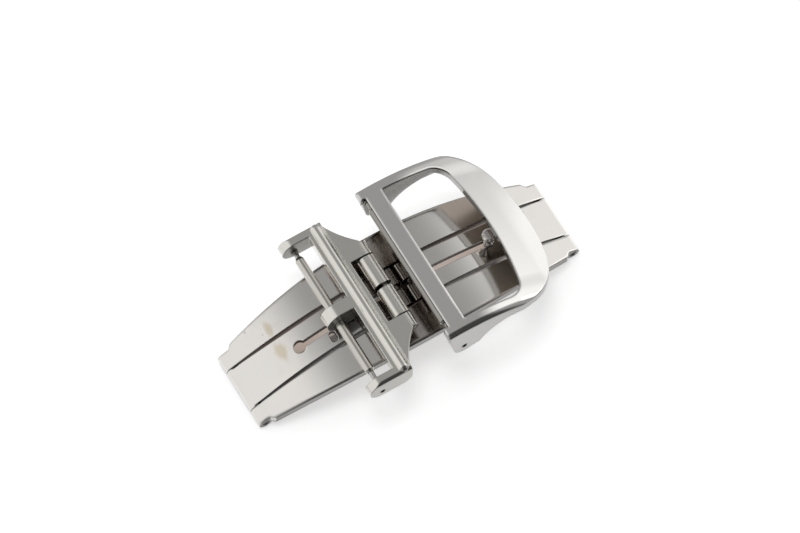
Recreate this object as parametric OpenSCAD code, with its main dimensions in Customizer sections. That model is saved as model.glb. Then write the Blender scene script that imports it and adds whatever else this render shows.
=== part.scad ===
// Deployant clasp for an 18 mm strap, closed.
// +X runs along the clasp from the strap link to the buckle, +Y across it, +Z away from the wrist.
// The origin is under the middle of the clasp, on the surface that its two end hinges stand on.

/* [Base] */
// Distance between the two end hinges
hinge_span = 40.6; // [36:0.2:46]
// Radius of the wrist arch on its outer face
arch_r = 45.8; // [42:0.2:60]
// Thickness of the base plate
base_t = 1.2; // [1.1:0.05:1.6]
// Width of the base across its middle
base_mid_w = 14; // [12.5:0.1:16]
// Width of the base where its ears begin
base_end_w = 10.5; // [10.2:0.1:11.5]
// Width of the long window between the rails
window_w = 5.45; // [5.2:0.05:5.8]
// Length of the low bridge under the two arms' free ends
bridge_len = 6; // [5:0.2:9]
// Width over the two ears at one end
ear_w = 9.5; // [9:0.1:10]
// Length of the ears, from the end of the base
ear_len = 2; // [1.8:0.1:2.6]

/* [End hinges] */
// Radius of the hinge knuckles
knuckle_r = 0.8; // [0.7:0.05:1]
// Radius of the two end hinge pins
end_pin_r = 0.42; // [0.3:0.02:0.5]
// How far the pins' ends lie below the ears' faces
pin_recess = 0.12; // [0:0.02:0.3]

/* [Arms] */
// Thickness of the spring arms
arm_t = 0.7; // [0.5:0.05:0.75]
// Width of the arms at both ends
arm_w = 5; // [4.6:0.02:5.04]
// How much each side of an arm is hollowed along its length
arm_waist = 0.2; // [0.1:0.02:0.34]
// Where the two arms' free ends meet
meet_x = 0.48; // [-0.4:0.02:1]
// Gap between the two arms' free ends
meet_gap = 0.26; // [0.15:0.01:0.6]
// Width of the slit that splits each arm in two tines
slit_w = 0.76; // [0.7:0.02:0.84]
// Distance of the left slit's round end from the middle
left_eye_x = 13; // [10:0.1:14]
// Radius of the left slit's round end
left_eye_r = 0.74; // [0.5:0.02:1]
// Distance of the strap post from the middle
post_x = 11.8; // [10:0.1:13]
// Distance of the oblong hole from the middle
oblong_x = 9.3; // [8:0.1:10.5]
// Length of the oblong hole across the arm
oblong_len = 1.35; // [1:0.05:1.6]
// Width of the oblong hole along the arm
oblong_w = 0.8; // [0.5:0.05:1]

/* [Latch and post] */
// Radius of the latch studs
stud_r = 0.3; // [0.15:0.01:0.32]
// Distance of each stud from its arm's free end
stud_inset = 0.8; // [0.6:0.05:1.4]
// Height of the strap post over the arm
post_h = 2.2; // [1.6:0.1:3]
// Radius of the strap post's waist
post_r = 0.42; // [0.3:0.02:0.6]
// Radius of the strap post's head
post_head_r = 0.82; // [0.6:0.02:1.1]

/* [Strap link] */
// Outer width of the strap link
link_w = 20.7; // [18.6:0.1:24]
// Width between the link's two outer prongs
link_inner_w = 18.5; // [16:0.1:21]
// Height of the outer prongs
link_h = 3.25; // [2.8:0.05:4]
// Thickness of the crossbar
link_bar_t = 1.5; // [1.2:0.05:1.8]
// Thickness of the flange
flange_t = 1.15; // [0.8:0.05:1.4]
// Width of the middle prong
mid_prong_w = 1.6; // [1.2:0.1:2.4]
// Distance from the link's hinge to the crossbar
flange_len = 2.65; // [2.4:0.05:3]
// Width of the crossbar along the clasp
crossbar_w = 1.95; // [1.7:0.05:2.2]
// Radius of the hollows that draw the flange in towards its hinge
tuck_r = 12.2; // [10:0.1:16]
// Length over which the flange is drawn in
tuck_len = 2.9; // [2:0.1:3.2]
// Distance of the link's hinge from the middle of the clasp
link_hinge_x = 1.75; // [1.5:0.05:2]
// Height of the link's hinge over the top of the arch
link_hinge_h = 2.16; // [2:0.02:2.6]
// Distance from the link's hinge to its spring bar
link_reach = 6.52; // [6:0.02:8]
// Radius of the link hinge's knuckles
link_knuckle_r = 0.8; // [0.65:0.05:0.9]
// Radius of the link's hinge pin
link_pin_r = 0.35; // [0.25:0.01:0.42]
// Length of the link's hinge, over all four knuckles
link_hinge_w = 11.76; // [10.5:0.02:13]
// Width of one raised lug on the left arm
lug_w = 3.8; // [3:0.05:4.4]
// Gap between the two lugs
lug_gap = 0.46; // [0.3:0.02:0.8]
// Gap between the lugs and the window in the flange
lug_clear = 0.12; // [0.06:0.02:0.3]
// Radius of the round rib on the crossbar
rib_r = 0.68; // [0.5:0.02:0.8]

/* [Buckle] */
// Outer width of the buckle
buckle_w = 20.8; // [18.6:0.1:24]
// Inner width of the buckle, which takes the strap
buckle_inner_w = 18.2; // [16:0.1:21]
// Radius of the buckle's arched top
buckle_r = 18.8; // [18:0.1:24]
// Thickness of the buckle's rim over its hinge
rim_t = 1.4; // [1.1:0.05:1.5]
// Gap between the tip of the thinned rim and the arch
tip_gap = 0.2; // [0.1:0.02:0.5]
// Width of the rim at the curved end
rim_w = 5.05; // [4:0.05:6]
// Distance of the buckle's tip from the middle of the clasp
tip_x = 17.1; // [16.2:0.1:17.6]
// Radius of the wide arc of the buckle's curved end
end_r = 18; // [16:0.5:24]
// Radius of the buckle's two outer corners
corner_r = 7; // [5:0.1:8]
// Distance of the buckle's hinge from the middle of the clasp
buckle_hinge_x = 2.35; // [2.2:0.05:3]
// Height of the buckle's hinge over the top of the arch
buckle_hinge_h = 1.2; // [1.1:0.02:1.5]
// Height of the buckle's top over its hinge
cheek_h = 4.5; // [4.2:0.05:5.5]
// Radius of the cheeks' round lower ends
cheek_r = 1.35; // [1:0.05:1.6]
// Distance from the hinge to the straight bar's right edge
bar_right = 0.75; // [0.5:0.05:1.5]
// Distance from the hinge to the cheeks' left edge
bar_left = 1.95; // [1.7:0.05:2.5]
// Radius of the two lugs that hold the buckle's spring bar
bar_lug_r = 0.95; // [0.85:0.05:1]
// Rounding along the buckle's outer edges
shoulder_r = 0.6; // [0.2:0.05:0.9]

/* [Spring bars] */
// Radius of the spring bars' tubes
tube_r = 0.57; // [0.5:0.01:0.6]
// Wall of the tubes
tube_wall = 0.16; // [0.1:0.01:0.2]
// Length of the tubes
tube_len = 16.05; // [14:0.05:16.4]
// Radius of the tips
tip_r = 0.31; // [0.22:0.01:0.34]
// Depth of the tips in their holes
tip_depth = 0.55; // [0.4:0.05:0.9]
// Thickness of the collar on each tip
collar_t = 0.22; // [0.15:0.01:0.3]
// Wire of the coils
wire_r = 0.06; // [0.04:0.01:0.08]
// Number of turns in a coil
coil_turns = 12; // [6:1:16]

/* [Fits] */
// Radial clearance of a pin that turns
run = 0.03; // [0.02:0.01:0.05]
// Gap between two faces that move past each other
face_gap = 0.06; // [0.04:0.01:0.1]

/* [Hidden] */
big = 60;
over = 1;
bite = 0.5;
steel = [0.78, 0.77, 0.74];
pin_steel = [0.62, 0.61, 0.6];
spring_steel = [0.5, 0.5, 0.52];
$fn = 48;

// The arch: all of its faces are cylinders about one line along Y
hinge_r = arch_r - knuckle_r;
hinge_a = asin(hinge_span / 2 / hinge_r);
arch_z = knuckle_r - hinge_r * cos(hinge_a);
top_z = arch_z + arch_r;
under_r = arch_r - base_t;
bridge_r = arch_r - arm_t - face_gap;
function on_arch(x, r) = arch_z + sqrt(r * r - x * x);

// The base's sides bow out in plan
side_bow = (base_mid_w - base_end_w) / 2;
ear_x = hinge_span / 2 + knuckle_r - ear_len;
side_r = (ear_x * ear_x + side_bow * side_bow) / 2 / side_bow;
ear_y = ear_w / 2;
ear_relief = 0.1;
ear_step = (base_end_w - ear_w) / 2 + ear_relief;

// The arms
stud_recess = 0.02;
stud_low = 0.1;
left_end = meet_x - meet_gap / 2;
right_end = meet_x + meet_gap / 2;
waist_end = 2;
waist_len = hinge_span / 2 - waist_end;
waist_r = (pow(waist_len / 2, 2) + arm_waist * arm_waist) / 2 / arm_waist;
arm_knuckle_w = window_w - 2 * face_gap;

oblong_edge = 0.14;
// The feet of the lugs on both arms, drawn in from the arm's sides
foot_side = 0.3;
foot_end = 0.15;
foot_z = top_z - arm_t / 2;
// The strap post's foot in the slit's round end
post_foot = 0.2;
post_foot_r = post_r + post_foot;
post_below = 0.18;

// The strap link
link_x = -link_hinge_x;
link_z = top_z + link_hinge_h;
bar_x = link_x - link_reach;
bar_drop = 1.25;
bar_z = link_z - bar_drop;
prong_end_r = link_h / 2;
prong_lead = 0.07;
prong_x = bar_x + prong_lead;
heel_r = 1.2;
link_edge_r = 0.45;
flange_top = link_z + link_knuckle_r;
crossbar_step = 0.1;
crossbar_top = flange_top + crossbar_step;
prong_z = crossbar_top - prong_end_r;
crossbar_right = link_x - flange_len;
crossbar_left = crossbar_right - crossbar_w;
rib_inset = 0.8;
rib_sink = 0.23;
rib_x = crossbar_right - rib_inset;
rib_z = crossbar_top - rib_sink;
rib_end = 0.05;
rib_y = link_w / 2 - rib_r - rib_end;
lug_out = lug_gap / 2 + lug_w;
flange_in = lug_out + lug_clear;
flange_window = 2.15;
// The flange's sides lie just inside the prongs' and are drawn in by hollows through two points
flange_side = 0.15;
neck_step = 0.16;
tuck_a = [link_x - tuck_len, link_w / 2 - flange_side];
tuck_b = [link_x, link_hinge_w / 2 + neck_step];
tuck_chord = norm(tuck_b - tuck_a);
tuck_far = sqrt(tuck_r * tuck_r - tuck_chord * tuck_chord / 4) / tuck_chord;
tuck_c = (tuck_a + tuck_b) / 2 + tuck_far * [tuck_a.y - tuck_b.y, tuck_b.x - tuck_a.x];
// The lugs under the link's hinge: a wide round beside the hinge's own, both as high as the flange
barrel_r = 0.9;
barrel_back = 0.45;
barrel_x = link_x - barrel_back;
barrel_z = flange_top - barrel_r;
lug_trim = 0.1;
lug_rise = 0.22;
lug_left = barrel_x - barrel_r + lug_trim;
lug_right = link_x + link_knuckle_r - lug_trim;
lug_bottom = top_z + lug_rise;
// Crease between the two rounds, and between the flange and its knuckles
crease_r = 0.11;
crease_back = 0.02;
crease_up = 0.04;
crease_x = link_x - crease_back;
crease_z = flange_top + crease_up;

// The buckle
pivot_x = buckle_hinge_x;
pivot_z = top_z + buckle_hinge_h;
buckle_top = pivot_z + cheek_h;
buckle_c_z = buckle_top - buckle_r;
cheek_left = pivot_x - bar_left;
window_left = pivot_x + bar_right;
window_right = tip_x - rim_w;
function on_buckle(x, r) = buckle_c_z + sqrt(r * r - pow(x - pivot_x, 2));
// The rim's underside is an arc of its own that ends a gap over the arch, so the rim thins to its tip
under_tip_z = on_arch(tip_x, arch_r) + tip_gap;
under_drop = buckle_top - rim_t - under_tip_z;
rim_under_r = (pow(tip_x - pivot_x, 2) + under_drop * under_drop) / 2 / under_drop;
rim_under_z = buckle_top - rim_t - rim_under_r;
function under_rim(x) = rim_under_z + sqrt(rim_under_r * rim_under_r - pow(x - pivot_x, 2));
// The cheeks' hollow sweep, measured from the hinge
sweep_low_x = 1.95;
sweep_low_z = 1;
sweep_top_x = 6.05;
sweep_top_z = 1.3;
sweep_end_x = 9.15;
sweep_r = 4.7;
cheek_heel = 0.25;
heel_lift = 0.02;
cheek_lip = 0.05;
// Curved end: a wide arc that runs into two corner arcs
corner_y = buckle_w / 2 - corner_r;
corner_x = tip_x - end_r + sqrt(pow(end_r - corner_r, 2) - corner_y * corner_y);
inner_end_r = 33;
inner_corner_r = 2.3;
inner_corner_y = buckle_inner_w / 2 - inner_corner_r;
inner_corner_x = window_right - inner_end_r
    + sqrt(pow(inner_end_r - inner_corner_r, 2) - inner_corner_y * inner_corner_y);
inner_end_x = window_right - inner_end_r;
inner_a = atan2(inner_corner_y, inner_corner_x - inner_end_x);
// Groove in the straight bar's left edge, and the keeper bar in it
notch_depth = 0.6;
keeper_in = 0.73;
keeper_down = 0.95;
keeper_x = cheek_left + keeper_in;
keeper_z = buckle_top - keeper_down;

// The spring bars: where each tube starts, from its far end
link_tube_far = 8.35;
buckle_tube_far = tube_len / 2;
keeper_tube_far = 7.85;
tube_bore = tube_r - tube_wall;
tail_len = 1.6;
coil_gap = 0.01;
mouth_lip = 0.3;
mouth_slope = 0.05;
mouth_round = 0.14;
tip_shoulder = 0.36;
collar_rim = 0.14;
tip_round = 0.1;
link_face = link_inner_w / 2;
buckle_face = buckle_inner_w / 2;

// A cylinder along Y, from y0 to y1, about the line at x, z
module y_rod(r, y0, y1, x, z) {
    translate([x, y1, z]) rotate([90, 0, 0]) cylinder(r = r, h = y1 - y0);
}

// Extrudes a side profile, drawn in x and z, along Y from y0 to y1
module across(y0, y1) {
    translate([0, y1, 0]) rotate([90, 0, 0]) linear_extrude(y1 - y0) children();
}

// Both halves of what is drawn on the +Y side
module both_sides() {
    children();
    mirror([0, 1, 0]) children();
}

// Side profile of a strip of the arch between two radii, from x0 to x1
module arch_strip(r_in, r_out, x0, x1) {
    intersection() {
        translate([0, arch_z]) difference() {
            circle(r_out, $fn = 360);
            circle(r_in, $fn = 360);
        }
        polygon([[0, arch_z], [x0 * 2, arch_z + 2 * sqrt(hinge_r * hinge_r - x0 * x0)],
            [x1 * 2, arch_z + 2 * sqrt(hinge_r * hinge_r - x1 * x1)]]);
    }
}

// Plan of the base: bowed on both sides, with narrower ears at its ends
module base_plan() {
    x1 = hinge_span / 2 + knuckle_r + over;
    y1 = base_mid_w;
    corner = [[ear_x, y1], [ear_x, ear_y + ear_step], [ear_x + ear_step, ear_y], [x1, ear_y]];
    intersection() {
        translate([0, side_r - base_mid_w / 2]) circle(side_r, $fn = 720);
        translate([0, base_mid_w / 2 - side_r]) circle(side_r, $fn = 720);
        polygon(concat(corner, [for (i = [3:-1:0]) [corner[i].x, -corner[i].y]],
            [for (c = corner) -c], [for (i = [3:-1:0]) [-corner[i].x, corner[i].y]]));
    }
}

module base_frame() {
    color(steel) difference() {
        union() {
            difference() {
                intersection() {
                    across(-base_mid_w, base_mid_w)
                        arch_strip(under_r, arch_r, -hinge_span / 2, hinge_span / 2);
                    translate([0, 0, -over]) linear_extrude(big) base_plan();
                }
                translate([-big / 2, -window_w / 2, -big / 2]) cube([big, window_w, big]);
            }
            // The bridge dips under the arms' free ends and joins the rails
            across(-window_w / 2 - bite, window_w / 2 + bite)
                arch_strip(under_r, bridge_r, meet_x - bridge_len / 2, meet_x + bridge_len / 2);
            // Ears round the two end pins
            for (s = [-1, 1]) both_sides()
                y_rod(knuckle_r, window_w / 2, ear_y, s * hinge_span / 2, knuckle_r);
        }
        for (s = [-1, 1])
            y_rod(end_pin_r, -ear_y - over, ear_y + over, s * hinge_span / 2, knuckle_r);
        for (x = [left_end - stud_inset, right_end + stud_inset])
            translate([x, 0, 0]) cylinder(r = stud_r, h = big);
    }
}

module end_pin(s) {
    color(pin_steel)
        y_rod(end_pin_r, pin_recess - ear_y, ear_y - pin_recess, s * hinge_span / 2, knuckle_r);
}
module left_hinge_pin() { end_pin(-1); }
module right_hinge_pin() { end_pin(1); }

// Studs on the bridge, in the slits, which the tines close on
module latch_studs() {
    color(pin_steel) for (x = [left_end - stud_inset, right_end + stud_inset])
        translate([x, 0, on_arch(x, under_r) + stud_recess])
            cylinder(r = stud_r, h = base_t - stud_low);
}

// Blank of an arm that is hinged on the left and ends at x1, with its slit from x_slit
module arm_blank(x1, x_slit) {
    tip_x0 = x1 - arm_t / 2;
    waist_x = (x1 - hinge_span / 2) / 2;
    difference() {
        union() {
            intersection() {
                across(-arm_w / 2, arm_w / 2) {
                    arch_strip(arch_r - arm_t, arch_r, -hinge_span / 2, tip_x0);
                    // Rounded free end
                    translate([tip_x0, on_arch(tip_x0, arch_r - arm_t / 2)]) circle(arm_t / 2);
                }
                // Plan with hollow sides
                linear_extrude(big) difference() {
                    translate([-hinge_span / 2 - over, -arm_w])
                        square([hinge_span / 2 + x1 + 2 * over, 2 * arm_w]);
                    for (s = [-1, 1]) translate([waist_x, s * (arm_w / 2 - arm_waist + waist_r)])
                        circle(waist_r, $fn = 720);
                }
            }
            y_rod(knuckle_r, -arm_knuckle_w / 2, arm_knuckle_w / 2, -hinge_span / 2, knuckle_r);
        }
        translate([x_slit, -slit_w / 2, -over]) cube([x1 - x_slit + over, slit_w, big]);
        y_rod(end_pin_r + run, -big / 2, big / 2, -hinge_span / 2, knuckle_r);
    }
}

// Side profile of a lug that carries the link's hinge
module lug_profile() {
    difference() {
        union() {
            translate([link_x, link_z]) circle(link_knuckle_r);
            translate([barrel_x, barrel_z]) circle(barrel_r);
            polygon([[lug_left, barrel_z], [lug_right, link_z], [lug_right, lug_bottom],
                [lug_left, lug_bottom]]);
        }
        translate([crease_x, crease_z]) circle(crease_r);
    }
}

module left_arm() {
    color(steel) difference() {
        union() {
            difference() {
                arm_blank(left_end, -left_eye_x);
                translate([-left_eye_x, 0, -over]) cylinder(r = left_eye_r, h = big);
                // Oblong hole in the near tine
                hull_slot(-oblong_x, -slit_w / 2 - oblong_edge - oblong_len / 2, oblong_len, oblong_w);
            }
            both_sides() {
                across(lug_gap / 2, lug_out) lug_profile();
                // Foot of the lug, down to the tine
                across(slit_w / 2, arm_w / 2 - foot_side) polygon([[lug_left, lug_bottom + bite],
                    [lug_left, foot_z], [lug_right, foot_z], [lug_right, lug_bottom + bite]]);
            }
        }
        y_rod(link_pin_r, -big / 2, big / 2, link_x, link_z);
    }
}

// A round-ended slot across the arm, cut straight down
module hull_slot(x, y, length, width) {
    for (s = [-1, 1])
        translate([x, y + s * (length - width) / 2, -over]) cylinder(r = width / 2, h = big);
    translate([x - width / 2, y - (length - width) / 2, -over]) cube([width, length - width, big]);
}

module link_hinge_pin() {
    color(pin_steel)
        y_rod(link_pin_r, pin_recess - link_hinge_w / 2, link_hinge_w / 2 - pin_recess, link_x, link_z);
}

module right_arm() {
    lug_x0 = pivot_x - bar_lug_r + foot_end;
    lug_x1 = pivot_x + bar_lug_r - foot_end;
    color(steel) difference() {
        union() {
            mirror([1, 0, 0]) arm_blank(-right_end, -post_x);
            // Two lugs that hold the buckle's spring bar
            both_sides() {
                y_rod(bar_lug_r, lug_gap / 2, lug_out, pivot_x, pivot_z);
                across(slit_w / 2, arm_w / 2 - foot_side)
                    polygon([[lug_x0, pivot_z], [lug_x0, foot_z], [lug_x1, foot_z], [lug_x1, pivot_z]]);
            }
        }
        y_rod(tube_r + run, -big / 2, big / 2, pivot_x, pivot_z);
        translate([post_x, 0, -over]) cylinder(r = post_foot_r, h = big);
    }
}

// Post with a flared head, riveted in the round end of the slit
module strap_post() {
    seat = on_arch(post_x, arch_r);
    under = on_arch(post_x, arch_r - arm_t);
    low = under - post_below;
    color(steel) translate([post_x, 0, 0]) rotate_extrude() polygon([[0, low],
        [post_foot_r, low], [post_foot_r, seat + post_foot], [post_r, seat + post_h * 0.23],
        [post_r, seat + post_h * 0.5], [post_head_r, seat + post_h * 0.8],
        [post_head_r, seat + post_h * 0.9], [post_head_r - post_foot, seat + post_h],
        [0, seat + post_h]]);
}

// Side profile of the link's outer prongs, with a round end and a rounded heel
module cheek_profile() {
    translate([prong_x, prong_z]) circle(prong_end_r);
    translate([prong_x, crossbar_top - link_h]) square([crossbar_right - heel_r - prong_x, link_h]);
    translate([crossbar_right - heel_r, crossbar_top - link_h + heel_r]) circle(heel_r);
    translate([crossbar_right - heel_r, crossbar_top - link_h + heel_r]) square([heel_r, link_h - heel_r]);
}

// Side profile of the middle prong, whose round end rests on the left arm
module mid_prong_profile() {
    rest_z = on_arch(bar_x, arch_r) + face_gap + run;
    r = (crossbar_top - rest_z) / 2;
    cx = prong_x - prong_end_r + r;
    translate([cx, rest_z + r]) circle(r);
    translate([cx, crossbar_top - link_bar_t]) square([crossbar_left - cx + bite, link_bar_t]);
}

// Front profile that rounds the link's long upper edges
module link_front() {
    r = link_edge_r;
    half = link_w / 2;
    translate([-half, 0]) square([link_w, crossbar_top - r]);
    translate([r - half, 0]) square([link_w - 2 * r, crossbar_top]);
    for (s = [-1, 1]) translate([s * (half - r), crossbar_top - r]) circle(r);
}

module strap_link() {
    color(steel) difference() {
        union() {
            intersection() {
                union() {
                    both_sides() across(link_inner_w / 2, link_w / 2) cheek_profile();
                    across(-mid_prong_w / 2, mid_prong_w / 2) mid_prong_profile();
                    across(-link_inner_w / 2 - bite, link_inner_w / 2 + bite)
                        translate([crossbar_left, crossbar_top - link_bar_t])
                            square([crossbar_w, link_bar_t]);
                }
                translate([-big / 2, 0, 0]) rotate([90, 0, 90]) linear_extrude(big) link_front();
            }
            // Flange, drawn in at both sides towards the hinge
            difference() {
                translate([crossbar_right - bite, flange_side - link_w / 2, flange_top - flange_t])
                    cube([flange_len + bite, link_w - 2 * flange_side, flange_t]);
                both_sides() translate([tuck_c.x, tuck_c.y, 0]) cylinder(r = tuck_r, h = big, $fn = 180);
                translate([link_x - flange_window, -flange_in, 0]) cube([big, 2 * flange_in, big]);
            }
            both_sides() y_rod(link_knuckle_r, flange_in, link_hinge_w / 2, link_x, link_z);
            // Half-round rib with ball ends
            y_rod(rib_r, -rib_y, rib_y, rib_x, rib_z);
            for (s = [-1, 1]) translate([rib_x, s * rib_y, rib_z]) sphere(rib_r);
        }
        both_sides() y_rod(crease_r, flange_in - over, link_hinge_w / 2 + over, crease_x, crease_z);
        y_rod(link_pin_r + run, -big / 2, big / 2, link_x, link_z);
        y_rod(tip_r + run, -big / 2, big / 2, bar_x, bar_z);
        y_rod(tube_r + run, -link_inner_w / 2, link_inner_w / 2, bar_x, bar_z);
    }
}

// A spring bar's tube, drawn in at both mouths, with its far end at y1
module bar_tube(x, z, y1) {
    y0 = y1 - tube_len;
    bore = tip_r + run;
    color(steel) translate([x, 0, z]) rotate([-90, 0, 0]) rotate_extrude() polygon([
        [tube_bore, y0 + mouth_lip], [bore, y0 + mouth_lip - mouth_slope], [bore, y0],
        [tube_r - mouth_round, y0], [tube_r, y0 + mouth_lip], [tube_r, y1 - mouth_lip],
        [tube_r - mouth_round, y1], [bore, y1], [bore, y1 - mouth_lip + mouth_slope],
        [tube_bore, y1 - mouth_lip]]);
}

// A spring bar's tip on the side s, from inside its tube's mouth to its hole in the frame
module bar_tip(x, z, s, mouth, face) {
    tail_r = tube_bore - run;
    collar = face - face_gap - collar_t;
    collar_r = tip_r + collar_rim;
    end = face + tip_depth;
    color(pin_steel) translate([x, 0, z]) rotate([-90 * s, 0, 0]) rotate_extrude() polygon([
        [0, mouth - tail_len], [tail_r, mouth - tail_len], [tail_r, mouth - tip_shoulder],
        [tip_r, mouth - tip_shoulder], [tip_r, collar], [collar_r, collar], [collar_r, collar + collar_t],
        [tip_r, collar + collar_t], [tip_r, end - tip_round], [tip_r - tip_round, end], [0, end]]);
}

// A coil spring as one swept tube, from y0 to y1 about the line at x, z
module coil(x, z, y0, y1) {
    sides = 6;
    per_turn = 10;
    rings = coil_turns * per_turn;
    mean_r = tube_bore - run - wire_r;
    pitch = (y1 - y0 - 2 * wire_r) / rings;
    points = [for (i = [0:rings], j = [0:sides - 1])
        let (a = 360 * i / per_turn, b = 360 * j / sides, r = mean_r + wire_r * cos(b))
        [x + r * cos(a), y0 + wire_r + i * pitch + wire_r * sin(b), z + r * sin(a)]];
    faces = concat([[for (j = [0:sides - 1]) j]], [[for (j = [0:sides - 1]) rings * sides + sides - 1 - j]],
        [for (i = [0:rings - 1], j = [0:sides - 1]) let (k = (j + 1) % sides)
            [i * sides + j, (i + 1) * sides + j, (i + 1) * sides + k]],
        [for (i = [0:rings - 1], j = [0:sides - 1]) let (k = (j + 1) % sides)
            [i * sides + j, (i + 1) * sides + k, i * sides + k]]);
    color(spring_steel) polyhedron(points, faces);
}

// The coil between the tails of a bar's two tips
module bar_coil(x, z, y1) {
    coil(x, z, y1 - tube_len + tail_len + coil_gap, y1 - tail_len - coil_gap);
}

module link_bar_tube() { bar_tube(bar_x, bar_z, link_tube_far); }
module link_bar_coil() { bar_coil(bar_x, bar_z, link_tube_far); }
module link_bar_tip_far() { bar_tip(bar_x, bar_z, 1, link_tube_far, link_face); }
module link_bar_tip_near() { bar_tip(bar_x, bar_z, -1, tube_len - link_tube_far, link_face); }

// Plan of the buckle: straight sides, wide corners and a gently curved end
module buckle_plan() {
    arc_x = tip_x - end_r;
    a = atan2(corner_y, corner_x - arc_x);
    translate([cheek_left, -buckle_w / 2]) square([corner_x - cheek_left, buckle_w]);
    for (s = [-1, 1]) translate([corner_x, s * corner_y]) rotate(180) circle(corner_r, $fn = 96);
    intersection() {
        translate([arc_x, 0]) rotate(180) circle(end_r, $fn = 360);
        polygon([[corner_x, -corner_y], [corner_x, corner_y],
            [arc_x + 2 * end_r * cos(a), 2 * end_r * sin(a)],
            [arc_x + 2 * end_r * cos(a), -2 * end_r * sin(a)]]);
    }
}

// Points along an arc about c, from angle a0 to a1
function arc(c, r, a0, a1, n) = [for (i = [0:n]) let (a = a0 + (a1 - a0) * i / n)
    [c.x + r * cos(a), c.y + r * sin(a)]];

// Plan of the window for the strap: square on the left, rounded corners and a gently curved end
module window_plan() {
    half = buckle_inner_w / 2;
    polygon(concat([[window_left, half], [window_left, -half]],
        arc([inner_corner_x, -inner_corner_y], inner_corner_r, -90, -inner_a - 1, 10),
        arc([inner_end_x, 0], inner_end_r, -inner_a, inner_a, 20),
        arc([inner_corner_x, inner_corner_y], inner_corner_r, inner_a + 1, 90, 10)));
}

// Section of the arched rim: a band with rounded upper edges, to be turned about the arch's line
module rim_section() {
    half = buckle_w / 2;
    r = shoulder_r;
    band = rim_t + bite;
    translate([buckle_r - band, -half]) square([band - r, buckle_w]);
    translate([buckle_r - band, r - half]) square([band, buckle_w - 2 * r]);
    for (s = [-1, 1]) translate([buckle_r - r, s * (half - r)]) circle(r);
}

// Side profile of a cheek: a round end about the hinge, and a hollow sweep up to the rim
module cheek_side() {
    low_x = pivot_x + sweep_low_x;
    roof_x = pivot_x + sweep_top_x;
    roof_z = pivot_z + sweep_top_z;
    run_x = pivot_x + sweep_end_x;
    inner = buckle_r - rim_t / 2;
    translate([pivot_x, pivot_z]) circle(cheek_r);
    difference() {
        polygon(concat([[pivot_x, pivot_z], [pivot_x + cheek_heel, pivot_z - cheek_r + heel_lift],
            [low_x, pivot_z - sweep_low_z], [roof_x, roof_z], [run_x, under_rim(run_x)]],
            [for (i = [0:4]) let (x = run_x + (cheek_left + cheek_lip - run_x) * i / 4)
                [x, on_buckle(x, inner)]],
            [[pivot_x - cheek_r, pivot_z]]));
        intersection() {
            translate([roof_x, roof_z - sweep_r]) circle(sweep_r, $fn = 96);
            translate([low_x - over, 0]) square([roof_x - low_x + over, roof_z + over]);
        }
    }
}

module buckle_frame() {
    color(steel) difference() {
        intersection() {
            union() {
                difference() {
                    translate([pivot_x, 0, buckle_c_z]) rotate([-90, 0, 0])
                        rotate_extrude($fn = 360) rim_section();
                    translate([pivot_x, big / 2, rim_under_z]) rotate([90, 0, 0])
                        cylinder(r = rim_under_r, h = big, $fn = 360);
                }
                both_sides() across(buckle_inner_w / 2, buckle_w / 2) cheek_side();
            }
            translate([0, 0, over]) linear_extrude(big) buckle_plan();
        }
        linear_extrude(big) window_plan();
        // Notch in the straight bar's left edge
        translate([cheek_left - over, -buckle_inner_w / 2, 0])
            cube([over + notch_depth, buckle_inner_w, big]);
        y_rod(tube_r + face_gap, -buckle_inner_w / 2, buckle_inner_w / 2, keeper_x, keeper_z);
        // Blind holes of the keeper bar, and through holes of the hinge's spring bar
        y_rod(tip_r + run, -buckle_face - tip_depth - face_gap, buckle_face + tip_depth + face_gap,
            keeper_x, keeper_z);
        y_rod(tip_r + run, -big / 2, big / 2, pivot_x, pivot_z);
    }
}

module buckle_bar_tube() { bar_tube(pivot_x, pivot_z, buckle_tube_far); }
module buckle_bar_coil() { bar_coil(pivot_x, pivot_z, buckle_tube_far); }
module buckle_bar_tip_far() { bar_tip(pivot_x, pivot_z, 1, buckle_tube_far, buckle_face); }
module buckle_bar_tip_near() { bar_tip(pivot_x, pivot_z, -1, buckle_tube_far, buckle_face); }

module keeper_bar_tube() { bar_tube(keeper_x, keeper_z, keeper_tube_far); }
module keeper_bar_coil() { bar_coil(keeper_x, keeper_z, keeper_tube_far); }
module keeper_bar_tip_far() { bar_tip(keeper_x, keeper_z, 1, keeper_tube_far, buckle_face); }
module keeper_bar_tip_near() { bar_tip(keeper_x, keeper_z, -1, tube_len - keeper_tube_far, buckle_face); }

base_frame();
left_hinge_pin();
right_hinge_pin();
latch_studs();
left_arm();
link_hinge_pin();
right_arm();
strap_post();
strap_link();
link_bar_tube();
link_bar_coil();
link_bar_tip_far();
link_bar_tip_near();
buckle_frame();
buckle_bar_tube();
buckle_bar_coil();
buckle_bar_tip_far();
buckle_bar_tip_near();
keeper_bar_tube();
keeper_bar_coil();
keeper_bar_tip_far();
keeper_bar_tip_near();
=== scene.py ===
"""A polished steel deployant clasp, lying closed on a white table."""
import math

import bpy
from mathutils import Matrix, Vector


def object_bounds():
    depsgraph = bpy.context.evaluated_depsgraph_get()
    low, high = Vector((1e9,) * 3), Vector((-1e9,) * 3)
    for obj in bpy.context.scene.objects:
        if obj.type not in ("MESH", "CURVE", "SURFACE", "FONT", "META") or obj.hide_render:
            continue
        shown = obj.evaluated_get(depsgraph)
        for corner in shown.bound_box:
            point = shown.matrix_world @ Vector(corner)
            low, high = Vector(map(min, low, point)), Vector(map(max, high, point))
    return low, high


MM = 0.001

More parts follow.
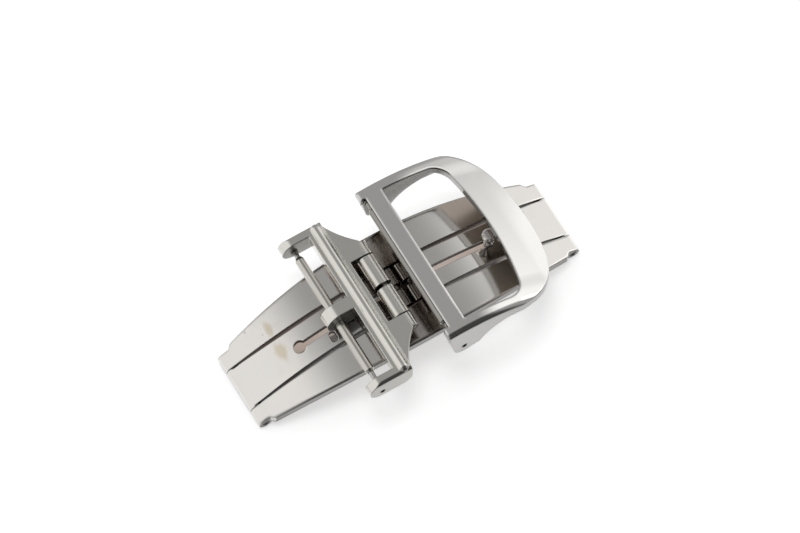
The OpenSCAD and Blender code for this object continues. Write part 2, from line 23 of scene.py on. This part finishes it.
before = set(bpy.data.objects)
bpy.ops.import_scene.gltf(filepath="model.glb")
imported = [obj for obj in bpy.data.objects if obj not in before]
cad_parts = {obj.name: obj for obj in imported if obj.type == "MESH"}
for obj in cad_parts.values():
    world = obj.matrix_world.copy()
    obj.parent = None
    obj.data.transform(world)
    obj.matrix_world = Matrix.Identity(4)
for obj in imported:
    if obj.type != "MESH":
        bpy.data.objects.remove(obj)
cad_box = [list(map(float, corner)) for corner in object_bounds()]

# Camera: a long lens, looking down on the clasp from its near left side
CAMERA_AZIMUTH = -30.72
CAMERA_ELEVATION = 67.29
CAMERA_DISTANCE = 600 * MM
FOCAL_MM = 237.24
SENSOR_MM = 36
LOOK_AT = Vector((0, 0, 1.35)) * MM
LOOK_RIGHT = 0.091 * MM
LOOK_UP = 4.142 * MM


def add_camera():
    """The camera at the photograph's angle."""
    a = math.radians(CAMERA_AZIMUTH)
    e = math.radians(CAMERA_ELEVATION)
    right = Vector((math.cos(a), math.sin(a), 0))
    back = Vector((math.sin(a) * math.cos(e), -math.cos(a) * math.cos(e), math.sin(e)))
    up = back.cross(right)
    data = bpy.data.cameras.new("camera")
    data.lens = FOCAL_MM
    data.sensor_width = SENSOR_MM
    data.clip_start = 0.01
    data.clip_end = 20
    camera = bpy.data.objects.new("camera", data)
    turn = Matrix((right, up, back)).transposed().to_4x4()
    camera.matrix_world = Matrix.Translation(
        LOOK_AT + right * LOOK_RIGHT + up * LOOK_UP + back * CAMERA_DISTANCE) @ turn
    bpy.context.collection.objects.link(camera)
    bpy.context.scene.camera = camera


# Nodes and shader groups

def new_group(name, inputs, outputs):
    """An empty shader group. inputs is name: (socket type, default), outputs is name: socket type."""
    group = bpy.data.node_groups.new(name, "ShaderNodeTree")
    for key, (kind, value) in inputs.items():
        socket = group.interface.new_socket(key, in_out="INPUT", socket_type=kind)
        if value is not None:
            socket.default_value = value
    for key, kind in outputs.items():
        group.interface.new_socket(key, in_out="OUTPUT", socket_type=kind)
    return group, group.nodes.new("NodeGroupInput"), group.nodes.new("NodeGroupOutput")


def add_node(tree, kind, settings=None, **inputs):
    """A node with its settings, and inputs given as values or as sockets to link from. An input is
    named by its name, with _ for a space, or by i and its number."""
    node = tree.nodes.new(kind)
    for key, value in (settings or {}).items():
        setattr(node, key, value)
    for key, value in inputs.items():
        name = key.replace("_", " ")
        socket = node.inputs[int(key[1:])] if key[0] == "i" and key[1:].isdigit() else node.inputs[name]
        if isinstance(value, bpy.types.NodeSocket):
            tree.links.new(value, socket)
        else:
            socket.default_value = value
    return node


def math_node(tree, operation, first, second=0.0):
    """The result of a math node."""
    return add_node(tree, "ShaderNodeMath", {"operation": operation}, i0=first, i1=second).outputs[0]


def size_of(tree, value):
    """A number without its sign."""
    return math_node(tree, "ABSOLUTE", value)


def negative(tree, value):
    """A number with its sign turned round."""
    return math_node(tree, "MULTIPLY", value, -1.0)


def ramp(tree, value, low, high):
    """A smooth step from 0 at low to 1 at high."""
    node = add_node(tree, "ShaderNodeMapRange", {"interpolation_type": "SMOOTHSTEP"},
                    Value=value, From_Min=low, From_Max=high)
    return node.outputs["Result"]


def ramp_mm(tree, value, low, high):
    """A smooth step of a length, with low and high in mm."""
    return ramp(tree, value, low * MM, high * MM)


def mix_color(tree, factor, first, second):
    """A mix of two colours."""
    node = add_node(tree, "ShaderNodeMix", {"data_type": "RGBA"}, i0=factor, i6=first, i7=second)
    return node.outputs[2]


def mix_value(tree, factor, first, second):
    """A mix of two numbers."""
    node = add_node(tree, "ShaderNodeMix", {"data_type": "FLOAT"}, i0=factor, i2=first, i3=second)
    return node.outputs[0]


def product_color(tree, first, second):
    """Two colours multiplied."""
    settings = {"data_type": "RGBA", "blend_type": "MULTIPLY"}
    return add_node(tree, "ShaderNodeMix", settings, i0=1.0, i6=first, i7=second).outputs[2]


def tinted(tree, tone, mask, strength, shade):
    """A tone that turns to a shade by a mask times a strength."""
    return mix_color(tree, math_node(tree, "MULTIPLY", mask, strength), tone, shade)


def raised(tree, value, mask, amount):
    """A number with a mask times an amount added."""
    return math_node(tree, "ADD", value, math_node(tree, "MULTIPLY", mask, amount))


# The two crossing sets of hair scratches: turn in radians, and how fine they lie, per metre
HAIR_SETS = ((0.0, 4200.0), (1.1, 3300.0))
HAIR_LENGTHWISE = 90

# Levels of noise from which marks begin and at which they are full
HAIR_LEVEL = (0.70, 0.78)
HAIR_PATCH_LEVEL = (0.42, 0.66)
SMEAR_LEVEL = (0.52, 0.72)
SMEAR_GRAIN_LEVEL = (0.35, 0.7)

# The share of cells without a pit, and a pit's radius as a share of its cell
PIT_RARE = 0.93
PIT_SIZE = 0.09

# A stain's fade, in shares of its half width, and how far its noise moves that edge
STAIN_EDGE = (0.85, 1.75)
STAIN_RAGGED = 1.1


def fine_scratches_group():
    """Hair-fine scratches in two crossing directions, as a mask."""
    group, inside, outside = new_group(
        "fine_scratches",
        {"Vector": ("NodeSocketVector", None), "Density": ("NodeSocketFloat", 1.0),
         "Turn": ("NodeSocketFloat", 0.3)},
        {"Mask": "NodeSocketFloat"})
    total = None
    for step, stretch in HAIR_SETS:
        angle = math_node(group, "ADD", inside.outputs["Turn"], step)
        turned = add_node(group, "ShaderNodeVectorRotate", {"rotation_type": "Z_AXIS"},
                          Vector=inside.outputs["Vector"], Angle=angle)
        drawn = add_node(group, "ShaderNodeMapping", Vector=turned.outputs[0],
                         Scale=(HAIR_LENGTHWISE, stretch, HAIR_LENGTHWISE))
        noise = add_node(group, "ShaderNodeTexNoise", Vector=drawn.outputs[0], Scale=1.0, Detail=1.0)
        line = ramp(group, noise.outputs[0], *HAIR_LEVEL)
        total = line if total is None else math_node(group, "MAXIMUM", total, line)
    patches = add_node(group, "ShaderNodeTexNoise", Vector=inside.outputs["Vector"],
                       Scale=260.0, Detail=2.0)
    where = ramp(group, patches.outputs[0], *HAIR_PATCH_LEVEL)
    mask = math_node(group, "MULTIPLY", total, where)
    mask = math_node(group, "MULTIPLY", mask, inside.outputs["Density"])
    group.links.new(mask, outside.inputs["Mask"])
    return group


def handling_marks_group():
    """Smudges left by handling: a soft mask, and a value that wanders slowly."""
    group, inside, outside = new_group(
        "handling_marks", {"Vector": ("NodeSocketVector", None)},
        {"Mask": "NodeSocketFloat", "Wander": "NodeSocketFloat"})
    wide = add_node(group, "ShaderNodeTexNoise", Vector=inside.outputs["Vector"],
                    Scale=120.0, Detail=3.0, Distortion=0.6)
    small = add_node(group, "ShaderNodeTexNoise", Vector=inside.outputs["Vector"],
                     Scale=900.0, Detail=4.0)
    smear = math_node(group, "MULTIPLY", ramp(group, wide.outputs[0], *SMEAR_LEVEL),
                      ramp(group, small.outputs[0], *SMEAR_GRAIN_LEVEL))
    group.links.new(smear, outside.inputs["Mask"])
    group.links.new(wide.outputs[0], outside.inputs["Wander"])
    return group


def tiny_pits_group():
    """Sparse pin-point pits, as a mask."""
    group, inside, outside = new_group(
        "tiny_pits", {"Vector": ("NodeSocketVector", None)}, {"Mask": "NodeSocketFloat"})
    cells = add_node(group, "ShaderNodeTexVoronoi", Vector=inside.outputs["Vector"], Scale=700.0)
    pick = add_node(group, "ShaderNodeSeparateColor", Color=cells.outputs["Color"])
    chosen = math_node(group, "GREATER_THAN", pick.outputs[0], PIT_RARE)
    near = math_node(group, "LESS_THAN", cells.outputs["Distance"], PIT_SIZE)
    group.links.new(math_node(group, "MULTIPLY", chosen, near), outside.inputs["Mask"])
    return group


def worn_edges_group():
    """The normal rounded over sharp edges."""
    group, inside, outside = new_group(
        "worn_edges", {"Radius": ("NodeSocketFloat", 0.1 * MM)}, {"Normal": "NodeSocketVector"})
    rounded = add_node(group, "ShaderNodeBevel", {"samples": 8}, Radius=inside.outputs["Radius"])
    group.links.new(rounded.outputs[0], outside.inputs["Normal"])
    return group


def shut_in_group(name, low, high):
    """How far a point is shut in by what stands within reach: 0 up to low and 1 from high on."""
    group, inside, outside = new_group(
        name, {"Reach": ("NodeSocketFloat", 0.5 * MM)}, {"Mask": "NodeSocketFloat"})
    near = add_node(group, "ShaderNodeAmbientOcclusion", {"samples": 6}, Distance=inside.outputs["Reach"])
    shut = math_node(group, "SUBTRACT", 1.0, near.outputs["AO"])
    group.links.new(ramp(group, shut, low, high), outside.inputs["Mask"])
    return group


def stain_group():
    """A dried smear with a ragged edge, round a centre in the part's own x and y, in metres."""
    group, inside, outside = new_group(
        "stain",
        {"Vector": ("NodeSocketVector", None), "Centre X": ("NodeSocketFloat", 0.0),
         "Centre Y": ("NodeSocketFloat", 0.0), "Half X": ("NodeSocketFloat", 1 * MM),
         "Half Y": ("NodeSocketFloat", 1 * MM)},
        {"Mask": "NodeSocketFloat"})
    spot = add_node(group, "ShaderNodeSeparateXYZ", Vector=inside.outputs["Vector"])
    ways = []
    for axis, centre, half in ((0, "Centre X", "Half X"), (1, "Centre Y", "Half Y")):
        off = math_node(group, "SUBTRACT", spot.outputs[axis], inside.outputs[centre])
        off = math_node(group, "DIVIDE", off, inside.outputs[half])
        ways.append(math_node(group, "MULTIPLY", off, off))
    far = math_node(group, "SQRT", math_node(group, "ADD", *ways))
    drawn = add_node(group, "ShaderNodeMapping", Vector=inside.outputs["Vector"], Scale=(1.0, 0.3, 1.0))
    noise = add_node(group, "ShaderNodeTexNoise", Vector=drawn.outputs[0], Scale=1900.0, Detail=4.0)
    far = raised(group, far, noise.outputs[0], STAIN_RAGGED)
    mask = math_node(group, "SUBTRACT", 1.0, ramp(group, far, *STAIN_EDGE))
    group.links.new(mask, outside.inputs["Mask"])
    return group


GROUPS = {
    "scratches": fine_scratches_group(),
    "marks": handling_marks_group(),
    "pits": tiny_pits_group(),
    "edges": worn_edges_group(),
    # Masks for the painted shade in the gaps between pieces and in the deep well
    "shaded_creases": shut_in_group("painted_crease_shade", low=0.25, high=0.70),
    "shaded_wells": shut_in_group("painted_well_shade", low=0.32, high=0.68),
    "stain": stain_group(),
}


def place_group(tree, name, **inputs):
    """One of the shader groups, placed in a material with its own values."""
    node = tree.nodes.new("ShaderNodeGroup")
    node.node_tree = GROUPS[name]
    for key, value in inputs.items():
        if isinstance(value, bpy.types.NodeSocket):
            tree.links.new(value, node.inputs[key])
        else:
            node.inputs[key].default_value = value
    return node


# Where the finishes and the painted well shade change, as pairs from and to in mm
OUTER_RAILS_Y = (3.8, 4.4)
LEFT_PART_X = (12, 8)
BESIDE_WELL_X = (3.5, 5)

# Over what height the painted shade clears and a finish changes, and over what width the roll ends at its
# sides, in mm
CLEAR_FADE = 0.4
SATIN_FADE = 0.15
ROLL_FADE = 2

# Half the buckle's width and the reach of the well's painted shade, in mm
HALF_WIDTH = 10.4
WELL_REACH = 6

# Which way a face looks, as pairs from and to of a part of its normal, for the painted shade on upright,
# near and under faces
LEVEL_Z = (0.12, 0.4)
NEAR_FACE_Y = (0.8, 0.95)
UNDERSIDE_Z = (0.3, 0.6)

# Depth of the waviness, the hair scratches and the pits, in mm
WAVE_MM = 0.006
HAIR_MM = 0.0004
PIT_MM = 0.002

# Turn of the hair scratches that run round the tubes and pins, in radians
ACROSS = 1.57

# Roughness of the brushed tops and the undersides
SATIN_ROUGH = 0.26
UNDER_ROUGH = 0.32

# Factors between which the other roughness wanders, and what the near faces and the marks add to it
ROUGH_LEAST = 0.7
ROUGH_MOST = 1.3
NEAR_FACE_ROUGH = 0.1
SMUDGE_ROUGH = 0.07
HAIR_ROUGH = 0.10
STAIN_ROUGH = 0.2

# How strongly the marks, and the painted shade in the well and the gaps, show in the colour
SMUDGE_TINT = 0.4
STAIN_TINT = 0.5
PIT_TINT = 0.75
WELL_TINT = 0.9
GAP_TINT = 0.92

# Colours: the metals, the painted shade of the undersides, and what the marks and the painted
# shade in the well and the gaps turn them to
POLISHED = (0.94, 0.912, 0.873)
BRUSHED = (0.88, 0.858, 0.80)
MIRROR = (0.935, 0.92, 0.893)
TUBE = (0.73, 0.705, 0.655)
# The keeper bar's steel, darkened as painted shade for its place in the notch under the buckle's bar
KEEPER_IN_SHADE = (0.40, 0.385, 0.36)
TURNED = (0.62, 0.605, 0.58)
SPRING = (0.42, 0.42, 0.43)
PAINTED_UNDERSIDE_SHADE = (0.36, 0.32, 0.29)
SMUDGE_FACTORS = (0.88, 0.88, 0.8)
WELL_SHADE = (0.20, 0.17, 0.145, 1)
PIT_SHADE = (0.12, 0.11, 0.1, 1)
GAP_SHADE = (0.02, 0.018, 0.015, 1)
STAIN_SHADE = (0.92, 0.76, 0.50, 1)


def darker(colour, factor):
    """A colour darkened by a factor, with its alpha."""
    return (*[part * factor for part in colour], 1)


def edge_radius(tree, spot, edge, outer_edge):
    """The radius in metres that edges are rounded to: outer_edge on the outer rails' left part."""
    if outer_edge is None:
        return edge * MM
    outer = ramp_mm(tree, size_of(tree, spot.outputs["Y"]), *OUTER_RAILS_Y)
    left = ramp_mm(tree, spot.outputs["X"], *LEFT_PART_X)
    return mix_value(tree, math_node(tree, "MULTIPLY", outer, left), edge * MM, outer_edge * MM)


def painted_shade_masks(tree, spot, crease, clear_from):
    """Masks of the painted shade in the gaps between pieces and in the deep well in the middle of the
    clasp.
    """
    gap = place_group(tree, "shaded_creases", Reach=crease * MM).outputs["Mask"]
    well = place_group(tree, "shaded_wells", Reach=WELL_REACH * MM).outputs["Mask"]
    beside = ramp_mm(tree, size_of(tree, spot.outputs["X"]), *BESIDE_WELL_X)
    well = mix_value(tree, beside, well, 0.0)
    if clear_from is not None:
        high = ramp_mm(tree, spot.outputs["Z"], clear_from, clear_from + CLEAR_FADE)
        gap = mix_value(tree, high, gap, 0.0)
        well = mix_value(tree, high, well, 0.0)
    return gap, well


def stained(tree, where, stain, tone, rough):
    """A tone and a roughness with a stain over them."""
    sizes = dict(zip(("Centre X", "Centre Y", "Half X", "Half Y"), (value * MM for value in stain)))
    mask = place_group(tree, "stain", Vector=where, **sizes).outputs["Mask"]
    return tinted(tree, tone, mask, STAIN_TINT, STAIN_SHADE), raised(tree, rough, mask, STAIN_ROUGH)


def shaped_top(tree, spot, height, crown, roll):
    """The height less what a top falls off: the crown across it, and the roll towards +X."""
    if roll is not None:
        slope, start, end, half = roll
        past = math_node(tree, "SUBTRACT", spot.outputs["X"], start * MM)
        past = math_node(tree, "MINIMUM", math_node(tree, "MAXIMUM", past, 0.0), (end - start) * MM)
        past = math_node(tree, "MULTIPLY", past, past)
        middle = ramp_mm(tree, size_of(tree, spot.outputs["Y"]), half + ROLL_FADE, half)
        past = math_node(tree, "MULTIPLY", past, middle)
        fall = math_node(tree, "MULTIPLY", past, slope / (2 * (end - start) * MM))
        height = math_node(tree, "SUBTRACT", height, fall)
    if crown is not None:
        across = math_node(tree, "MULTIPLY", spot.outputs["Y"], spot.outputs["Y"])
        fall = math_node(tree, "MULTIPLY", across, crown / (2 * HALF_WIDTH * MM))
        height = math_node(tree, "SUBTRACT", height, fall)
    return height


def steel(name, colour, roughness, edge=0.1, outer_edge=None, scratches=0.5, turn=0.3, marks=0.5,
          pits=0.4, under=None, side=0.6, upright=0.85, crease=1.0, clear_from=None, satin_from=None,
          stains=(), crown=None, roll=None):
    """Steel with rounded edges, painted shade in its gaps and well, hair scratches, handling marks and
    pin-point pits. edge is the edges' radius in mm, and outer_edge that of its long outer edges near
    the left end. under is the colour of its satin underside, darker as painted shade. side paints
    shade on the faces towards -Y and upright on its other upright ones. crease is the reach of the
    painted shade in the gaps in mm, and clear_from the height in mm over which no painted shade darkens
    it. satin_from is the height over which it is brushed. stains are (x, y, half x, half y) in mm.
    crown is the slope across the clasp that its top reaches at its sides. roll is (slope, from x, to
    x, half y) in mm: its top rolls over to that slope towards +X."""
    material = bpy.data.materials.new(name)
    material.use_nodes = True
    tree = material.node_tree
    tree.nodes.clear()
    output = tree.nodes.new("ShaderNodeOutputMaterial")
    shader = tree.nodes.new("ShaderNodeBsdfPrincipled")
    tree.links.new(shader.outputs[0], output.inputs["Surface"])
    shader.inputs["Metallic"].default_value = 1.0
    where = add_node(tree, "ShaderNodeTexCoord").outputs["Object"]
    spot = add_node(tree, "ShaderNodeSeparateXYZ", Vector=where)
    normal = add_node(tree, "ShaderNodeNewGeometry").outputs["Normal"]
    facing = add_node(tree, "ShaderNodeSeparateXYZ", Vector=normal)
    hair = place_group(tree, "scratches", Vector=where, Density=scratches, Turn=turn).outputs["Mask"]
    smear = place_group(tree, "marks", Vector=where)
    pit = place_group(tree, "pits", Vector=where).outputs["Mask"]
    rim = place_group(tree, "edges", Radius=edge_radius(tree, spot, edge, outer_edge))
    gap, well = painted_shade_masks(tree, spot, crease, clear_from)

    smudged = (*[part * factor for part, factor in zip(colour, SMUDGE_FACTORS)], 1)
    tone = tinted(tree, (*colour, 1), smear.outputs["Mask"], SMUDGE_TINT * marks, smudged)
    rough = mix_value(tree, smear.outputs["Wander"], roughness * ROUGH_LEAST, roughness * ROUGH_MOST)
    rough = raised(tree, rough, smear.outputs["Mask"], SMUDGE_ROUGH * marks)
    rough = raised(tree, rough, hair, HAIR_ROUGH)
    if satin_from is not None:
        high = ramp_mm(tree, spot.outputs["Z"], satin_from, satin_from + SATIN_FADE)
        tone = mix_color(tree, high, tone, (*BRUSHED, 1))
        rough = mix_value(tree, high, rough, SATIN_ROUGH)
    for stain in stains:
        tone, rough = stained(tree, where, stain, tone, rough)
    # Painted shade by which way a face looks: upright faces, and most of all those towards -Y, are darker
    level = ramp(tree, size_of(tree, facing.outputs["Z"]), *LEVEL_Z)
    tone = mix_color(tree, math_node(tree, "SUBTRACT", 1.0, level), tone, darker(colour, upright))
    near = ramp(tree, negative(tree, facing.outputs["Y"]), *NEAR_FACE_Y)
    tone = mix_color(tree, near, tone, darker(colour, side))
    rough = mix_value(tree, near, rough, roughness + NEAR_FACE_ROUGH)
    # Undersides get a darker brown colour as painted shade, and a satin roughness
    if under is not None:
        below = ramp(tree, negative(tree, facing.outputs["Z"]), *UNDERSIDE_Z)
        tone = mix_color(tree, below, tone, (*under, 1))
        rough = mix_value(tree, below, rough, UNDER_ROUGH)
    tone = tinted(tree, tone, pit, PIT_TINT * pits, PIT_SHADE)
    # Painted shade in the deep well and in the gaps between pieces darkens the colour
    tone = tinted(tree, tone, well, WELL_TINT, WELL_SHADE)
    tone = tinted(tree, tone, gap, GAP_TINT, GAP_SHADE)
    tree.links.new(tone, shader.inputs["Base Color"])
    tree.links.new(rough, shader.inputs["Roughness"])

    # Heights: the slow waviness of polished steel, less the hairs and the pits, and the top's shape
    height = math_node(tree, "MULTIPLY", smear.outputs["Wander"], WAVE_MM * MM)
    height = raised(tree, height, hair, -HAIR_MM * MM)
    height = raised(tree, height, pit, -PIT_MM * MM)
    height = shaped_top(tree, spot, height, crown, roll)
    bump = add_node(tree, "ShaderNodeBump", Strength=1.0, Distance=1.0,
                    Height=height, Normal=rim.outputs["Normal"])
    tree.links.new(bump.outputs[0], shader.inputs["Normal"])
    return material


# One finish for each kind of piece, with its roughness after its colour
finishes = {
    "base_frame": steel("polished_rails", POLISHED, 0.14, edge=0.3, outer_edge=0.7, turn=0.2, side=0.3,
                        crease=1.3, under=PAINTED_UNDERSIDE_SHADE, stains=((-14.9, 3.8, 0.5, 1.1),)),
    "left_arm": steel("polished_left_arm", POLISHED, 0.13, edge=0.15, turn=0.1, marks=0.9,
                      under=PAINTED_UNDERSIDE_SHADE, crease=2.2, clear_from=7.9, satin_from=6.6,
                      stains=((-14.9, 0.8, 0.8, 1.5),)),
    "right_arm": steel("polished_right_arm", POLISHED, 0.07, edge=0.15, turn=-0.1, crease=0.6,
                       under=PAINTED_UNDERSIDE_SHADE, satin_from=6.6),
    "strap_post": steel("polished_post", POLISHED, 0.12, edge=0.08),
    "strap_link": steel("brushed_link", BRUSHED, 0.18, edge=0.2, turn=1.4, side=0.5, clear_from=7.0,
                        under=PAINTED_UNDERSIDE_SHADE),
    "buckle_frame": steel("polished_buckle", MIRROR, 0.09, edge=0.4, turn=1.5, side=0.46, upright=0.4,
                          pits=0.1, under=PAINTED_UNDERSIDE_SHADE, crown=0.09, roll=(0.14, 1.9, 3.3, 7)),
    # The keeper bar's tube and tip take a colour darkened as painted shade
    "keeper_bar_tube": steel("keeper_tube_in_shade", KEEPER_IN_SHADE, 0.24, edge=0.05, turn=ACROSS, scratches=1.0, crease=0.8),
    "keeper_bar_tip": steel("keeper_tip_in_shade", KEEPER_IN_SHADE, 0.3, edge=0.04, scratches=0.8, crease=0.8),
    "tube": steel("brushed_tube", TUBE, 0.20, edge=0.05, turn=ACROSS, scratches=1.0, crease=0.3),
    "pin": steel("turned_pin", TURNED, 0.24, edge=0.06, turn=ACROSS, scratches=1.0, crease=0.3),
    "tip": steel("turned_tip", TURNED, 0.22, edge=0.04, scratches=0.8, crease=0.3),
    "coil": steel("spring_wire", SPRING, 0.3, edge=0.01, scratches=0.4),
}


def finish_of(node):
    """The finish of a CAD node: its own, one by a word in its name, or that of the pins and studs."""
    if node in finishes:
        return finishes[node]
    for word in ("keeper_bar_tip", "tube", "tip", "coil"):
        if word in node:
            return finishes[word]
    return finishes["pin"]


for name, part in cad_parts.items():
    part.data.materials.clear()
    part.data.materials.append(finish_of(name))


# Room, table and lamps

# Brightness of the room's parts, as the steel mirrors them
ROOM_TOP = 0.31
ROOM_LEFT = 0.78
ROOM_RIGHT_NEAR = 1.0
ROOM_RIGHT_FAR = 0.38
ROOM_FRONT = 0.05

# Where one part of the room gives way to the next, as pairs from and to of a direction's part
RIGHT_FAR_Y = (0.16, 0.62)
LEFT_X = (0.19, 0.48)
RIGHT_X = (0.4, 0.7)
FRONT_Y = (0.05, 0.35)
ASIDE_X = (0.45, 0.65)


def room_light(tree, x, y):
    """The room's brightness in a direction with these x and y."""
    window = mix_value(tree, ramp(tree, y, *RIGHT_FAR_Y), ROOM_RIGHT_NEAR, ROOM_RIGHT_FAR)
    shade = mix_value(tree, ramp(tree, negative(tree, x), *LEFT_X), ROOM_TOP, ROOM_LEFT)
    shade = mix_value(tree, ramp(tree, x, *RIGHT_X), shade, window)
    aside = ramp(tree, size_of(tree, x), *ASIDE_X)
    front = mix_value(tree, aside, ROOM_FRONT, ROOM_TOP)
    return mix_value(tree, ramp(tree, negative(tree, y), *FRONT_Y), shade, front)


# The table: its side in m, how far it lies under the clasp in mm, its colour and its glow
TABLE_SIZE = 6
TABLE_DROP = 0.02
TABLE_WHITE = (0.8, 0.8, 0.8, 1)
TABLE_GLOW = 0.60

# The clasp's soft shadow: how far it is looked for in mm, how far a point of the table is shut in
# where it begins and where it is full, and how much it then takes off the table's glow
SHADOW_REACH = 12
SHADOW_RAMP = (0.0, 0.8)
SHADOW_DEPTH = 0.08

# The shade right under the base frame, whose outline lies BASE_HALF mm from its axis in the middle
# and BASE_TAPER times x squared nearer towards its ends. The clasp is seen from -Y, so the shade
# lies SHADE_SHIFT mm farther towards +Y. It sets in over SHADE_EDGE mm, where the table is shut in.
BASE_HALF = 7.05
BASE_TAPER = 0.0068
SHADE_SHIFT = 1.4
SHUT_IN = (0.5, 0.8)
SHADE_EDGE = (0.2, 0.9)

# The strip of the shade that shows through the arms' slits, and its right end, in mm
SLIT_LOW_Y = (0.8, 1.1)
SLIT_HIGH_Y = (2.7, 3.1)
SLIT_X = (3.5, 5)
RIGHT_END_X = (12, 14)
WARM_SHADE = (0.55, 0.44, 0.375, 1)
DEEP_SHADE = (0.07, 0.06, 0.055, 1)
PALE_SHADE = (0.6, 0.57, 0.54, 1)

# In the steel, the table gives way to the room over these distances from the clasp, in mm
MIRRORED_TABLE = (14, 30)


def under_shade(tree, shut, spot):
    """The table's tint: white in the open, and right under the clasp warm in the slit, pale at the
    right end and deep elsewhere. shut is how far a point of the table is shut in."""
    along, across = spot.outputs["X"], spot.outputs["Y"]
    taper = math_node(tree, "MULTIPLY", math_node(tree, "MULTIPLY", along, along), BASE_TAPER / MM)
    outline = math_node(tree, "SUBTRACT", BASE_HALF * MM, taper)
    off_axis = size_of(tree, math_node(tree, "SUBTRACT", across, SHADE_SHIFT * MM))
    inside = ramp_mm(tree, math_node(tree, "SUBTRACT", outline, off_axis), *SHADE_EDGE)
    under = math_node(tree, "MULTIPLY", ramp(tree, shut, *SHUT_IN), inside)
    slit = mix_value(tree, ramp_mm(tree, across, *SLIT_HIGH_Y), ramp_mm(tree, across, *SLIT_LOW_Y), 0.0)
    slit = mix_value(tree, ramp_mm(tree, size_of(tree, along), *SLIT_X), 0.0, slit)
    shade = mix_color(tree, slit, DEEP_SHADE, WARM_SHADE)
    shade = mix_color(tree, ramp_mm(tree, along, *RIGHT_END_X), shade, PALE_SHADE)
    return mix_color(tree, under, (1, 1, 1, 1), shade)


def add_table():
    """A white table top that keeps the clasp's soft shadow, with a shade right under the clasp.
    In the steel its far parts look as bright as the room beyond them."""
    bpy.ops.mesh.primitive_plane_add(size=TABLE_SIZE, location=(0, 0, cad_box[0][2] - TABLE_DROP * MM))
    table = bpy.context.object
    table.name = "table"
    material = bpy.data.materials.new("white_table")
    material.use_nodes = True
    tree = material.node_tree
    tree.nodes.clear()
    output = tree.nodes.new("ShaderNodeOutputMaterial")
    near = add_node(tree, "ShaderNodeAmbientOcclusion", {"samples": 16}, Distance=SHADOW_REACH * MM)
    shut = math_node(tree, "SUBTRACT", 1.0, near.outputs["AO"])
    shadow = math_node(tree, "MULTIPLY", ramp(tree, shut, *SHADOW_RAMP), SHADOW_DEPTH)
    place = add_node(tree, "ShaderNodeNewGeometry").outputs["Position"]
    tint = under_shade(tree, shut, add_node(tree, "ShaderNodeSeparateXYZ", Vector=place))
    diffuse = add_node(tree, "ShaderNodeBsdfDiffuse", Color=product_color(tree, TABLE_WHITE, tint))
    glow = add_node(tree, "ShaderNodeEmission", Strength=TABLE_GLOW,
                    Color=product_color(tree, tint, math_node(tree, "SUBTRACT", 1.0, shadow)))
    both = add_node(tree, "ShaderNodeAddShader", i0=diffuse.outputs[0], i1=glow.outputs[0])

    # What the steel mirrors: the table near the clasp, and the room beyond
    unit = add_node(tree, "ShaderNodeVectorMath", {"operation": "NORMALIZE"}, i0=place).outputs[0]
    way = add_node(tree, "ShaderNodeSeparateXYZ", Vector=unit)
    distance = add_node(tree, "ShaderNodeVectorMath", {"operation": "LENGTH"}, i0=place).outputs["Value"]
    beyond = add_node(tree, "ShaderNodeEmission", Strength=1.0,
                      Color=room_light(tree, way.outputs["X"], way.outputs["Y"]))
    mirrored = add_node(tree, "ShaderNodeMixShader", i0=ramp_mm(tree, distance, *MIRRORED_TABLE),
                        i1=both.outputs[0], i2=beyond.outputs[0])

    path = add_node(tree, "ShaderNodeLightPath")
    seen = math_node(tree, "MAXIMUM", path.outputs["Is Camera Ray"], path.outputs["Is Transmission Ray"])
    chosen = add_node(tree, "ShaderNodeMixShader", i0=seen, i1=diffuse.outputs[0], i2=both.outputs[0])
    chosen = add_node(tree, "ShaderNodeMixShader", i0=path.outputs["Is Glossy Ray"],
                      i1=chosen.outputs[0], i2=mirrored.outputs[0])
    tree.links.new(chosen.outputs[0], output.inputs["Surface"])
    table.data.materials.append(material)


def add_world():
    """A soft room: bright on the left and the right, grey overhead and dark low in front."""
    world = bpy.data.worlds.new("room")
    bpy.context.scene.world = world
    world.use_nodes = True
    tree = world.node_tree
    direction = add_node(tree, "ShaderNodeTexCoord").outputs["Generated"]
    way = add_node(tree, "ShaderNodeSeparateXYZ", Vector=direction)
    background = tree.nodes["Background"].inputs
    tree.links.new(room_light(tree, way.outputs["X"], way.outputs["Y"]), background["Color"])
    background["Strength"].default_value = 1.0


def add_lamp(name, azimuth, elevation, distance, size, watts, glossy=True):
    """A soft rectangular lamp that faces the clasp. Azimuth 0 is along +X and 90 along +Y."""
    a = math.radians(azimuth)
    e = math.radians(elevation)
    place = Vector((math.cos(a) * math.cos(e), math.sin(a) * math.cos(e), math.sin(e))) * distance
    data = bpy.data.lights.new(name, "AREA")
    data.shape = "RECTANGLE"
    data.size = size
    data.size_y = size
    data.energy = watts
    lamp = bpy.data.objects.new(name, data)
    lamp.location = place
    lamp.rotation_euler = (-place).to_track_quat("-Z", "Y").to_euler()
    lamp.visible_glossy = glossy
    bpy.context.collection.objects.link(lamp)


add_camera()
add_table()
add_world()
add_lamp("high_window", azimuth=120, elevation=84, distance=1.0, size=0.35, watts=2.2, glossy=False)
add_lamp("right_window", azimuth=-6, elevation=16, distance=1.0, size=0.5, watts=0.45)

bpy.context.scene.view_settings.view_transform = "Standard"
